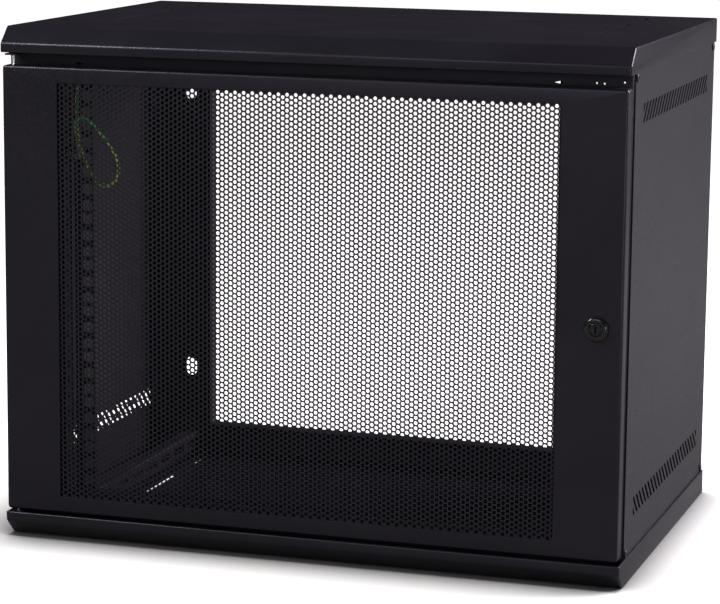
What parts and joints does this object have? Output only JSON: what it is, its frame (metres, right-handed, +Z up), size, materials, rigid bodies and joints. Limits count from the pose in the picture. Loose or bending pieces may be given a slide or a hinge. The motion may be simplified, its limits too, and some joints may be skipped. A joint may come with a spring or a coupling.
{
  "type": "wall-mount network cabinet",
  "caption": "Shallow wall-mount rack cabinet for 19-inch equipment, with chamfered covers, slanted side vents and a perforated locking front door.",
  "frame": {"origin": "centre of the base cover's footprint, on the surface that the cabinet stands on", "axes": "+Z up; the door faces -Y; +X is to the right of somebody facing the door"},
  "size_m": [0.6, 0.4, 0.488],
  "materials": {
    "cover_paint": "semi-matt black powder coat",
    "panel_paint": "semi-matt black powder coat",
    "frame_paint": "semi-matt black powder coat",
    "door_paint": "semi-matt black powder coat",
    "screen_paint": "semi-matt black powder coat on perforated sheet",
    "rail_paint": "semi-matt black powder coat",
    "black_screw": "black oxide",
    "zinc": "bright zinc plate",
    "chrome": "polished",
    "spring_steel": "oiled spring wire",
    "tinned_copper": "tinned",
    "lead_jacket": "green and yellow jacket",
    "lock_gloss": "dark gloss rim",
    "lock_steel": "dark nickel"
  },
  "bodies": {
    "root": {"base_cover": "cover_paint", "earth_lead": "lead_jacket", "front_frame": "frame_paint", "left_lower_depth_bracket": "frame_paint", "left_panel_screw_1": "black_screw", "left_panel_screw_2": "black_screw", "left_panel_screw_3": "black_screw", "left_panel_screw_4": "black_screw", "left_side_panel": "panel_paint", "left_upper_depth_bracket": "frame_paint", "lower_earth_lug": "tinned_copper", "lower_earth_nut": "zinc", "lower_earth_stud": "zinc", "lower_hinge_plate": "frame_paint", "rear_frame": "frame_paint", "right_lower_depth_bracket": "frame_paint", "right_panel_screw_1": "black_screw", "right_panel_screw_2": "black_screw", "right_panel_screw_3": "black_screw", "right_panel_screw_4": "black_screw", "right_side_panel": "panel_paint", "right_upper_depth_bracket": "frame_paint", "top_cover": "cover_paint", "upper_earth_lug": "tinned_copper", "upper_earth_nut": "zinc", "upper_earth_stud": "zinc", "upper_hinge_plate": "frame_paint"},
    "left_rail": {"left_rail": "rail_paint", "left_lower_rail_bolt": "zinc", "left_lower_rail_nut": "zinc", "left_upper_rail_bolt": "zinc", "left_upper_rail_nut": "zinc"},
    "right_rail": {"right_rail": "rail_paint", "right_lower_rail_bolt": "zinc", "right_lower_rail_nut": "zinc", "right_upper_rail_bolt": "zinc", "right_upper_rail_nut": "zinc"},
    "door": {"door_frame": "door_paint", "door_screen": "screen_paint", "lower_hinge_pin": "chrome", "pin_guide": "frame_paint", "pin_spring": "spring_steel", "lock_body": "lock_gloss", "lock_nut": "zinc"},
    "hinge_pin": {"upper_hinge_pin": "chrome"},
    "lock": {"lock_barrel": "lock_steel", "lock_cam": "zinc", "cam_nut": "zinc"}
  },
  "joints": [
    {"name": "door_hinge", "type": "hinge", "parent": "root", "child": "door", "pos_m": [-0.291, -0.19, 0.239], "axis": [0, 0, -1], "range_deg": [0, 180]},
    {"name": "hinge_pin_slide", "type": "slide", "parent": "door", "child": "hinge_pin", "axis": [0, 0, -1], "range_m": [0, 0.0105], "stiffness_N_per_m": 300, "springref_m": -0.008, "deforming": ["pin_spring"]},
    {"name": "lock_turn", "type": "hinge", "parent": "door", "child": "lock", "pos_m": [0.273, -0.196, 0.2385], "axis": [0, 1, 0], "range_deg": [0, 90]},
    {"name": "left_rail_slide", "type": "slide", "parent": "root", "child": "left_rail", "axis": [0, 1, 0], "range_m": [-0.005, 0.014]},
    {"name": "right_rail_slide", "type": "slide", "parent": "root", "child": "right_rail", "axis": [0, 1, 0], "range_m": [-0.005, 0.014]}
  ]
}
